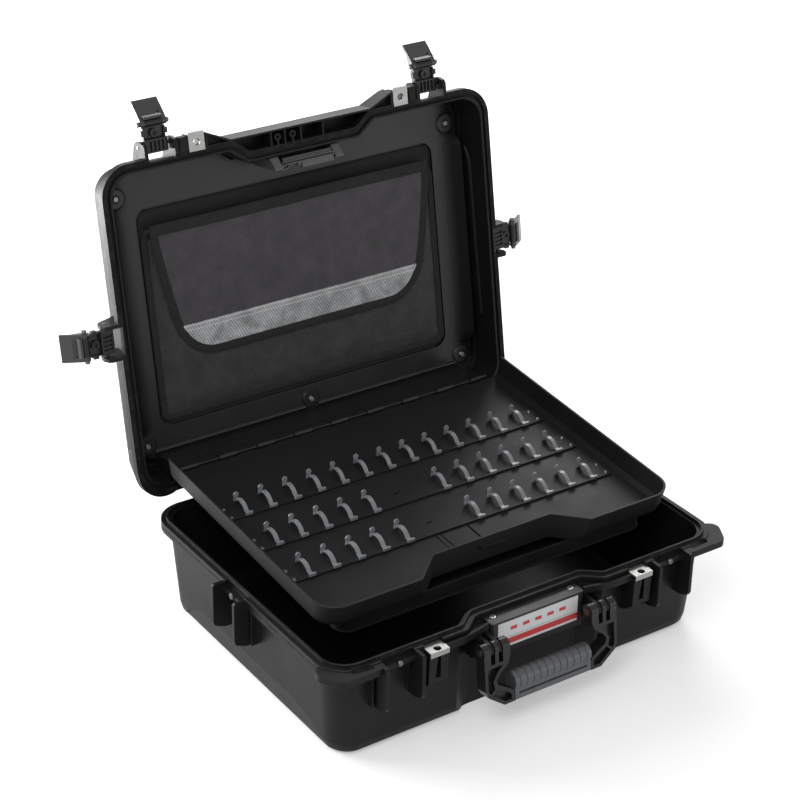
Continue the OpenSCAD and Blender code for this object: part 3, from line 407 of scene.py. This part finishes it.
# colours between and on the threads, threads in radians per metre and how they are turned,
# depth of the weave in metres; ribs and stitches are given by their spacing in metres
cloths = {
    "pouchNylon": {
        "low": (0.0058, 0.0052, 0.0057, 1), "high": (0.0580, 0.0530, 0.0575, 1),
        "threads": 1650, "turn": 45, "depth": 0.00070, "rough": 0.62, "sheen": 0.18, "patches": 0.20,
    },
    "flapNylon": {
        "low": (0.0062, 0.0056, 0.0063, 1), "high": (0.0840, 0.0765, 0.0850, 1),
        "threads": 1650, "turn": 45, "depth": 0.00070, "rough": 0.60, "sheen": 0.30, "patches": 0.13,
    },
    # the back's own dark cloth, darkened further as painted shade of the recess it lies in
    "backNylonWithPaintedShade": {
        "low": grey(0.004, -0.06), "high": grey(0.012, -0.06),
        "threads": 2700, "turn": 45, "depth": 0.00020, "rough": 0.75, "sheen": 0.05,
    },
    "bindingTape": {
        "low": grey(0.003, 0.0), "high": grey(0.020, 0.02),
        "threads": 5200, "turn": 0, "depth": 0.00020, "rough": 0.72, "sheen": 0.05,
        "rib": 0.0027, "ribDepth": 0.0005, "ribTurn": 0,
    },
    "reflectiveBand": {
        "low": grey(0.16, 0.05), "high": grey(0.52, 0.05),
        "threads": 4200, "turn": 20, "depth": 0.00015, "rough": 0.46, "sheen": 0.08,
        "rib": 0.0031, "ribDepth": 0.0006, "ribTurn": 28, "patches": 0.26,
        "seams": (0.0180, 0.0235), "seamPitch": 0.0032, "seamReach": 0.0005, "seamThread": grey(0.72),
    },
}


def sineAlong(tree, value, period):
    # a wave from 0 to 1 with that period in metres
    wave = maths(tree, "SINE", maths(tree, "MULTIPLY", value, 2 * math.pi / period))
    return ramp(tree, wave, -1.0, 1.0, 0.0, 1.0)


def turnedMap(tree, place, degrees):
    turn = (0, 0, math.radians(degrees))
    return put(tree, "ShaderNodeMapping", {"Vector": place, "Rotation": turn}).outputs[0]


# shared by all of them; a shade's pair is the share of the colour at its darkest and its palest
clothLook = {
    "threadSpan": (0.08, 0.62),  # where between two threads their colour starts and is full
    "slubShade": (0.72, 1.18),
    "patchScale": 34.0,
    "ribShade": (0.62, 1.30),
    "ribWander": 0.0022,
    "weaveStrength": 0.7,
    "ribStrength": 0.8,
    "gloss": 0.30,
    "sheenRough": 0.4,
}


def ribsAcross(tree, place, values, wander):
    # woven ribs that wander a little from straight
    slant = turnedMap(tree, place, values["ribTurn"])
    along = put(tree, "ShaderNodeSeparateXYZ", {0: slant}).outputs[0]
    drift = noiseOf(tree, place, scale=90.0, detail=2.0)
    return sineAlong(tree, maths(tree, "MULTIPLY_ADD", drift, wander, along), values["rib"])


def stitches(tree, place, values):
    # 1 on the stitches of each seam row, else 0
    parts = put(tree, "ShaderNodeSeparateXYZ", {0: place})
    dash = maths(tree, "GREATER_THAN", sineAlong(tree, parts.outputs[0], values["seamPitch"]), 0.25)
    upper, lower = (
        maths(tree, "COMPARE", parts.outputs[1], level, values["seamReach"]) for level in values["seams"]
    )
    return maths(tree, "MULTIPLY", maths(tree, "ADD", upper, lower), dash)


def cloth(name, look=clothLook):
    values = cloths[name]
    material, tree, shader = blank(name)
    place = tree.nodes.new("ShaderNodeUVMap").outputs[0]
    weave = groupOf(tree, weaveGroup, turnedMap(tree, place, values["turn"]))
    weave.inputs["Threads"].default_value = values["threads"]
    threads = ramp(tree, weave.outputs["Gaps"], *look["threadSpan"], 0.0, 1.0)
    tone = mixColour(tree, threads, values["low"], values["high"])
    shade = ramp(tree, weave.outputs["Slub"], 0.25, 0.75, *look["slubShade"])
    bump = bumpOf(tree, weave.outputs["Height"], look["weaveStrength"], values["depth"])
    if "patches" in values:
        span = values["patches"]
        # random lighter and darker patches over the cloth
        patchMarks = noiseOf(tree, place, scale=look["patchScale"], detail=2.5, distortion=0.6)
        shade = maths(tree, "MULTIPLY", shade, ramp(tree, patchMarks, 0.34, 0.66, 1 - span, 1 + span))
    if "rib" in values:
        rib = ribsAcross(tree, place, values, look["ribWander"])
        shade = maths(tree, "MULTIPLY", shade, ramp(tree, rib, 0.0, 1.0, *look["ribShade"]))
        bump = bumpOf(tree, rib, look["ribStrength"], values["ribDepth"], bump)
    colour = put(tree, "ShaderNodeVectorMath", {0: tone, "Scale": shade}, operation="SCALE").outputs[0]
    if "seams" in values:
        colour = mixColour(tree, stitches(tree, place, values), colour, values["seamThread"])
    tree.links.new(colour, shader.inputs["Base Color"])
    tree.links.new(bump, shader.inputs["Normal"])
    shader.inputs["Roughness"].default_value = values["rough"]
    shader.inputs["Specular IOR Level"].default_value = look["gloss"]
    shader.inputs["Sheen Weight"].default_value = values["sheen"]
    shader.inputs["Sheen Roughness"].default_value = look["sheenRough"]
    return material


# colours, then heights and lengths in metres
label = {
    "ground": (0.60, 0.61, 0.62, 1),
    "red": (0.48, 0.022, 0.028, 1),
    "grey": (0.20, 0.205, 0.21, 1),
    "stripe": (0.0890, 0.0965),
    "line": (0.0983, 0.0990),
    "dashes": (0.1065, 0.1110),
    "dashReach": 0.046,
    "dashPitch": 0.0085,
    "dashLength": 0.0046,
    "rough": (0.26, 0.44),
}


def labelPrint(values):
    # pale plate with a red stripe along its foot and a row of red dashes
    material, tree, shader = blank("labelPrint")
    place = tree.nodes.new("ShaderNodeTexCoord").outputs["Object"]
    parts = put(tree, "ShaderNodeSeparateXYZ", {0: place})
    x, z = parts.outputs[0], parts.outputs[2]

    def between(value, low, high):
        above = maths(tree, "GREATER_THAN", value, low)
        return maths(tree, "MULTIPLY", above, maths(tree, "LESS_THAN", value, high))

    dash = between(maths(tree, "PINGPONG", x, values["dashPitch"]), 0.0, values["dashLength"])
    row = maths(tree, "MULTIPLY", dash, between(z, *values["dashes"]))
    row = maths(tree, "MULTIPLY", row, between(x, -values["dashReach"], values["dashReach"]))
    red = maths(tree, "MAXIMUM", between(z, *values["stripe"]), row)
    lined = mixColour(tree, between(z, *values["line"]), values["ground"], values["grey"])
    tree.links.new(mixColour(tree, red, lined, values["red"]), shader.inputs["Base Color"])
    rub = noiseOf(tree, place, scale=160.0, detail=4.0)
    tree.links.new(ramp(tree, rub, 0.0, 1.0, *values["rough"]), shader.inputs["Roughness"])
    return material


finishes = {name: moulded(name) for name in mouldings}
finishes.update({name: metal(name) for name in metals})
finishes.update({name: cloth(name) for name in cloths})
finishes["labelPrint"] = labelPrint(label)
print("finishes ready:", ", ".join(sorted(finishes)))

solidFinish = {
    "shellPlastic": ["base_shell", "lid_shell"],
    "trayPlastic": ["tray_shell", "tray_pan", "clip_strips"],
    "linerPlastic": ["lid_liner"],
    "panelPlastic": ["handle_panel"],
    "bracketPlastic": ["catch_bracket"],
    "latchPlastic": [
        "handle_frame", "liner_washers",
        "link_front_left", "link_front_right", "link_side_left", "link_side_right",
    ],
    "leverPlastic": [
        "tray_catch",
        "lever_front_left", "lever_front_right", "lever_side_left", "lever_side_right",
    ],
    "gripRubber": ["handle_grip"],
    "gasketRubber": ["lid_gasket"],
    "clipNylon": ["clips_rear", "clips_middle", "clips_front"],
    "zincPlate": [
        "base_padlock_plates", "lid_padlock_plates", "panel_screws", "liner_screws",
    ],
    "blackSteel": ["tray_hinge_rod"],
    "darkSteel": [
        "handle_pins", "strip_rivets", "catch_studs", "hinge_pins", "latch_root_pins", "catch_pin",
        "pin_front_left", "pin_front_right", "pin_side_left", "pin_side_right",
    ],
    "labelPrint": ["label_plate"],
    "pouchNylon": ["pouch_back", "pouch_front", "pouch_flap"],
    "bindingTape": ["pouch_binding"],
    "reflectiveBand": ["flap_band"],
}

for finish, members in solidFinish.items():
    for name in members:
        piece = nodes[name]
        if not piece.material_slots:
            piece.data.materials.append(finishes[finish])
        for holder in piece.material_slots:
            holder.material = finishes[finish]
print("solids finished")

# pouch: soft pieces, shaped in the closed lid's frame in millimetres

hinge = Vector((0, 0.2132, 0.1225))
openAngle = 100  # degrees from shut to open
opened = Matrix.Rotation(math.radians(-openAngle), 4, "X")
lidTurn = Matrix.Translation(hinge) @ opened @ Matrix.Translation(-hinge)
linerFace = 173.5  # height of the liner's inner face with the lid shut


def smooth(t):
    t = min(max(t, 0.0), 1.0)
    return t * t * (3 - 2 * t)


def clothPiece(name, across, along, shape, finish, thickness, body, replaced=(), level=1):
    # shape gives (x, y, z, u, v) in millimetres for two numbers from 0 to 1; the thickness is
    # in millimetres too, and level is how often the faces are divided
    bm = bmesh.new()
    bmesh.ops.create_grid(bm, x_segments=across, y_segments=along, size=0.5, calc_uvs=False)
    layer = bm.loops.layers.uv.new("clothMap")
    spots = {v: shape(v.co.x + 0.5, v.co.y + 0.5) for v in bm.verts}
    for face in bm.faces:
        for loop in face.loops:
            loop[layer].uv = (spots[loop.vert][3] / 1000, spots[loop.vert][4] / 1000)
    for v, spot in spots.items():
        v.co = Vector(spot[:3]) / 1000
    bm.transform(lidTurn)
    bm.normal_update()
    facing = sum((f.normal for f in bm.faces), Vector())
    if facing.dot(lidTurn.to_3x3() @ Vector((0, 0, -1))) < 0:
        bmesh.ops.reverse_faces(bm, faces=bm.faces)
    for face in bm.faces:
        face.smooth = True
    mesh = bpy.data.meshes.new(name)
    bm.to_mesh(mesh)
    bm.free()
    piece = bpy.data.objects.new(name, mesh)
    bpy.context.scene.collection.objects.link(piece)
    mesh.materials.append(finishes[finish])
    wall = piece.modifiers.new("thickness", "SOLIDIFY")
    wall.thickness = thickness / 1000
    wall.offset = -1
    soft = piece.modifiers.new("soft", "SUBSURF")
    soft.levels = soft.render_levels = level
    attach(piece, body)
    if replaced:
        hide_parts(*replaced)
    return piece


pouch = {
    "halfWidth": 206.0,
    "top": -108.0,
    "bottom": 128.0,
    "back": (207.0, -131.0, 134.0),  # half width, top and bottom
    # how deep the back and the front's rim lie under the liner's face
    "backDepth": 3.6,
    "frontDepth": 1.9,
    "lift": 6.2,
    "sag": 0.9,
    # how far in from a side or the top the belly is fully up
    "edge": 22.0,
    "topEdge": 14.0,
    "topStart": 6.0,
    "wrinkle": 0.9,
    "wrinkleSize": (48, 36),
    "fineWrinkle": 0.45,
    "corner": 4.0,
    # x, y, length, slant, depth of each soft crease
    "creases": [
        (-150, 70, 60, 0.5, 1.4), (-120, 96, 70, 0.9, 1.2), (-176, 100, 46, 0.2, 1.1),
        (-60, 84, 60, 1.2, 0.9), (40, 96, 80, 1.4, 0.8), (120, 100, 60, -0.9, 0.9),
        (176, 70, 60, -0.25, 1.1), (186, 10, 70, -0.1, 0.9), (-186, 30, 60, 0.1, 1.0),
    ],
}


def creaseSum(x, y, creases, width=5.0):
    # ridges that fade at their ends
    total = 0.0
    for cx, cy, length, slant, depth in creases:
        c, s = math.cos(slant), math.sin(slant)
        across = (x - cx) * c - (y - cy) * s
        along = (x - cx) * s + (y - cy) * c
        total += depth * math.exp(-((across / width) ** 2) - (along / length * 2) ** 2)
    return total


def pouchHeight(x, y, values=pouch):
    # how far the pouch's front stands off its back, in millimetres
    side = values["halfWidth"] - abs(x)
    foot = values["bottom"] - y
    head = y - values["top"] + values["topStart"]
    rise = min(smooth(side / values["edge"]), smooth(foot / values["edge"]), smooth(head / values["topEdge"]))
    wide, long = values["wrinkleSize"]
    ripple = noise.fractal(Vector((x / wide, y / long, 3.1)), 0.9, 2.1, 4) * values["wrinkle"]
    fine = noise.noise(Vector((x / 17 + y / 40, y / 90, 8.3))) * values["fineWrinkle"]
    down = (y - values["top"]) / (values["bottom"] - values["top"])
    sag = values["sag"] * math.sin(math.pi * smooth(down))
    return max(0.2, rise * (values["lift"] + sag + ripple + fine + creaseSum(x, y, values["creases"])))


def pouchFrontShape(u, v, values=pouch):
    x = (u - 0.5) * 2 * (values["halfWidth"] - 1)
    y = values["top"] + v * (values["bottom"] - values["top"])
    # corners drawn in a little
    pull = max(0, abs(u - 0.5) * 2 - 0.93) / 0.07 * max(0, abs(v - 0.5) * 2 - 0.9) / 0.1
    x -= math.copysign(values["corner"] * pull, u - 0.5)
    return x, y, linerFace + values["frontDepth"] - pouchHeight(x, y), x, y


def pouchBackShape(u, v, values=pouch):
    halfWidth, top, bottom = values["back"]
    x = (u - 0.5) * 2 * halfWidth
    y = top + v * (bottom - top)
    return x, y, linerFace + values["backDepth"], x, y


front = clothPiece(
    "pouchFront", 180, 116, pouchFrontShape, "pouchNylon", thickness=0.9,
    body="lid", replaced=["pouch_front"],
)
back = clothPiece(
    "pouchBack", 60, 40, pouchBackShape, "backNylonWithPaintedShade", thickness=1.0,
    body="lid", replaced=["pouch_back"], level=0,
)

flap = {
    "top": -106.0,
    "bottom": 58.5,
    # y and half width there
    "outline": [
        (-106, 197), (-84, 196), (-66, 193), (-46, 190), (-18, 185), (6, 180),
        (22, 176), (36, 168), (46, 159), (53, 148), (58.5, 132),
    ],
    "stand": 7.7,  # how far it lies before the liner's face
    "wrinkle": 0.55,
    "wrinkleSize": (60, 44),
    "fineWrinkle": 0.25,
    "fineSize": (24, 70),
    "crowding": 1.25,  # over 1, the rows of faces lie closer together toward the round foot
    "creaseWidth": 7.0,
    "creaseShare": 0.8,
    "creases": [
        (-122, 30, 56, 0.35, 1.9), (-98, 32, 50, 0.45, 1.7), (-74, 30, 48, 0.5, 1.9),
        (-50, 32, 44, 0.6, 1.3), (-150, 14, 60, 0.2, 1.4), (-20, 34, 40, 0.5, 0.9),
        (66, 32, 44, 0.5, 0.9), (104, 30, 44, 0.4, 1.0), (128, 24, 50, 0.3, 0.9),
        (150, -70, 46, -1.1, 1.3), (-20, -20, 90, 1.2, 0.8), (-146, -48, 70, 0.9, 1.3),
    ],
}


def flapHalf(y, values=flap):
    rows = values["outline"]
    for (y0, w0), (y1, w1) in zip(rows, rows[1:]):
        if y <= y1:
            return w0 + (w1 - w0) * (y - y0) / (y1 - y0)
    return rows[-1][1]


def flapHeight(x, y, values=flap):
    wide, long = values["wrinkleSize"]
    ripple = noise.fractal(Vector((x / wide, y / long, 5.7)), 0.9, 2.1, 3) * values["wrinkle"]
    wide, long = values["fineSize"]
    fine = noise.noise(Vector((x / wide, y / long, 1.3))) * values["fineWrinkle"]
    folds = creaseSum(x, y, values["creases"], values["creaseWidth"]) * values["creaseShare"]
    return linerFace - values["stand"] + ripple + fine - folds


def flapShape(u, v, values=flap):
    y = values["top"] + (1 - (1 - v) ** values["crowding"]) * (values["bottom"] - values["top"])
    x = (u - 0.5) * 2 * flapHalf(y)
    return x, y, flapHeight(x, y), x, y


flapPanel = clothPiece(
    "flapPanel", 150, 80, flapShape, "flapNylon", thickness=0.9,
    body="flap", replaced=["pouch_flap"],
)


def densePath(points, step):
    # the same path with a point at least every step millimetres
    dense = []
    for (ax, ay), (bx, by) in zip(points, points[1:]):
        count = max(1, int(math.dist((ax, ay), (bx, by)) / step))
        dense += [(ax + (bx - ax) * i / count, ay + (by - ay) * i / count) for i in range(count)]
    dense.append(points[-1])
    return dense


def flapPath(values=flap, step=4.0):
    # down the left edge, along the foot with round corners, and up the right edge
    left = [(-w, y) for y, w in values["outline"]]
    dense = densePath(left + [(-x, y) for x, y in reversed(left)], step)
    for _ in range(6):
        dense = [dense[0]] + [
            ((p[0] + 2 * q[0] + r[0]) / 4, (p[1] + 2 * q[1] + r[1]) / 4)
            for p, q, r in zip(dense, dense[1:], dense[2:])
        ] + [dense[-1]]
    return dense


def lengthsAlong(path):
    lengths = [0.0]
    for a, b in zip(path, path[1:]):
        lengths.append(lengths[-1] + math.dist(a, b))
    return lengths


def stretchAt(lengths, s):
    # which stretch of the path the length s falls in
    i = 0
    while i < len(lengths) - 2 and lengths[i + 1] < s:
        i += 1
    return i


# shared by all tapes: the share of the width that lies outside the path, how full the crown is
# (1 is a plain sine, less is fuller), and the ribs in radians per millimetre
tapeLook = {"outside": 0.12, "fullness": 0.6, "ribTurn": 1.9}


def ribbonShape(path, values, inward, height, look=tapeLook):
    # a tape that follows a path, with its own map in metres along and across
    lengths = lengthsAlong(path)
    width, bulge, ribs = (values[key] for key in ("width", "bulge", "ribs"))

    def shape(u, v):
        s = u * lengths[-1]
        i = stretchAt(lengths, s)
        t = (s - lengths[i]) / max(lengths[i + 1] - lengths[i], 1e-6)
        a, b = Vector(path[i]), Vector(path[i + 1])
        before = Vector(path[max(i - 1, 0)])
        after = Vector(path[min(i + 2, len(path) - 1)])
        run = ((b - before) * (1 - t) + (after - a) * t).normalized()
        side = Vector((-run.y, run.x)) * inward
        p = a.lerp(b, t) + side * (v - look["outside"]) * width
        swell = bulge * math.sin(math.pi * v) ** look["fullness"] if 0 < v < 1 else 0.0
        rib = ribs * math.sin(s * look["ribTurn"])
        return p.x, p.y, height(p.x, p.y) - swell - rib, s, v * width

    return shape


# width, crown and rib height of each tape, how thick it is, and how far it stands
# before the flap or the liner's face
tapes = {
    "flapTape": {"width": 11.0, "bulge": 0.7, "ribs": 0.08, "thickness": 0.8, "stand": 0.15},
    "pouchTopTape": {"width": 14.5, "bulge": 1.1, "ribs": 0.22, "thickness": 1.0, "stand": 8.4},
    "pouchEdgeTape": {"width": 9.0, "bulge": 1.3, "ribs": 0.06, "thickness": 1.2, "stand": 0.6},
}


def tapePiece(name, across, along, path, inward, ground, body, replaced=()):
    values = tapes[name]
    shape = ribbonShape(path, values, inward, lambda x, y: ground(x, y) - values["stand"])
    return clothPiece(
        name, across, along, shape, "bindingTape", thickness=values["thickness"],
        body=body, replaced=replaced,
    )


def faceHeight(x, y):
    return linerFace


flapTape = tapePiece("flapTape", 420, 8, flapPath(), -1, flapHeight, "flap")

# reflective band: its folded upper hem stands a little higher
band = {"top": 16.0, "bottom": 49.5, "inset": 8.0, "stand": 0.45, "hem": 0.22, "hemRise": 0.25}


def bandShape(u, v, values=band):
    y = values["top"] + v * (values["bottom"] - values["top"])
    x = (u - 0.5) * 2 * (flapHalf(y) - values["inset"])
    hem = values["hemRise"] if v < values["hem"] else 0.0
    return x, y, flapHeight(x, y) - values["stand"] - hem, x, y


flapBand = clothPiece(
    "flapBand", 150, 22, bandShape, "reflectiveBand", thickness=0.5,
    body="flap", replaced=["flap_band"],
)

# nearly straight, with a slow wave to either side
topEdge = {"y": -112.3, "reach": 199, "wave": 0.6}
topPath = [
    (x, topEdge["y"] - topEdge["wave"] * math.sin(x / 60))
    for x in range(-topEdge["reach"], topEdge["reach"] + 1, 5)
]
topTape = tapePiece("pouchTopTape", 300, 10, topPath, 1, faceHeight, "lid", ["pouch_binding"])

pouchRim = {"halfWidth": 207.0, "top": -104.0, "bottom": 131.0, "corner": 12.0}


def rimPath(values=pouchRim, step=5.0):
    # the pouch's outer edge, round its four corners
    w, top, bottom, r = (values[key] for key in ("halfWidth", "top", "bottom", "corner"))
    corners = [
        (w - r, top + r, -90), (w - r, bottom - r, 0), (-w + r, bottom - r, 90), (-w + r, top + r, 180),
    ]
    points = []
    for cx, cy, start in corners:
        for k in range(7):
            a = math.radians(start + 15 * k)
            points.append((cx + r * math.cos(a), cy + r * math.sin(a)))
    points.append(points[0])
    return densePath(points, step)


edgeTape = tapePiece("pouchEdgeTape", 460, 8, rimPath(), 1, faceHeight, "lid")
print("pouch sewn")

# lid: the liner's concave flanks and the half-round bead inside each end
flank = {"start": 217.0, "edge": 247.6, "turn": 46, "ends": (-141.0, 143.0), "fade": 17.0, "sunk": 0.3}
bead = {
    # half the width between the end walls at that height, and how they lean in above it
    "wall": 256.9,
    "wallHeight": 141.0,
    "wallLean": 0.07,
    "sunk": 0.3,
    "radius": 2.7,
    "mapWidth": 8,
    # y and height along the wall
    "path": [
        (-122, 166), (-118, 164), (-112, 160.8), (-105, 158), (-96, 156.6),
        (-60, 156.4), (0, 155.8), (60, 154.8), (106, 153.8),
    ],
}


def flankShape(side, values=flank):
    low, high = values["ends"]
    full = math.radians(values["turn"])
    reach = (values["edge"] - values["start"]) / math.sin(full)

    def shape(u, v):
        y = low + v * (high - low)
        fade = smooth(min(y - low, high - y) / values["fade"])
        turn = full * u
        x = values["start"] + reach * math.sin(turn)
        rise = reach * (1 - math.cos(turn))
        return side * x, y, linerFace + values["sunk"] - rise * fade, x, y

    return shape


def beadShape(side, values=bead):
    path, radius = values["path"], values["radius"]
    lengths = lengthsAlong(path)

    def shape(u, v):
        s = u * lengths[-1]
        i = stretchAt(lengths, s)
        a, b = Vector(path[i]), Vector(path[i + 1])
        run = (b - a).normalized()
        p = a + run * (s - lengths[i])
        # rounded off at both ends
        end = min(s, lengths[-1] - s) / radius
        size = radius * math.sqrt(max(0.02, 1 - max(0, 1 - end) ** 2))
        turn = math.pi * (v - 0.5)
        wall = values["wall"] - (p.y - values["wallHeight"]) * values["wallLean"]
        y = p.x - run.y * size * math.sin(turn)
        z = p.y + run.x * size * math.sin(turn)
        x = side * (wall - size * math.cos(turn) + values["sunk"])
        return x, y, z, s, v * values["mapWidth"]

    return shape


for side, word in ((-1, "Left"), (1, "Right")):
    clothPiece(
        "linerFlank" + word, 28, 60, flankShape(side), "linerPlastic", thickness=0.6,
        body="lid", level=0,
    )
    clothPiece(
        "lidBead" + word, 90, 10, beadShape(side), "shellPlastic", thickness=0.4,
        body="lid",
    )
print("lid flanks and beads made")
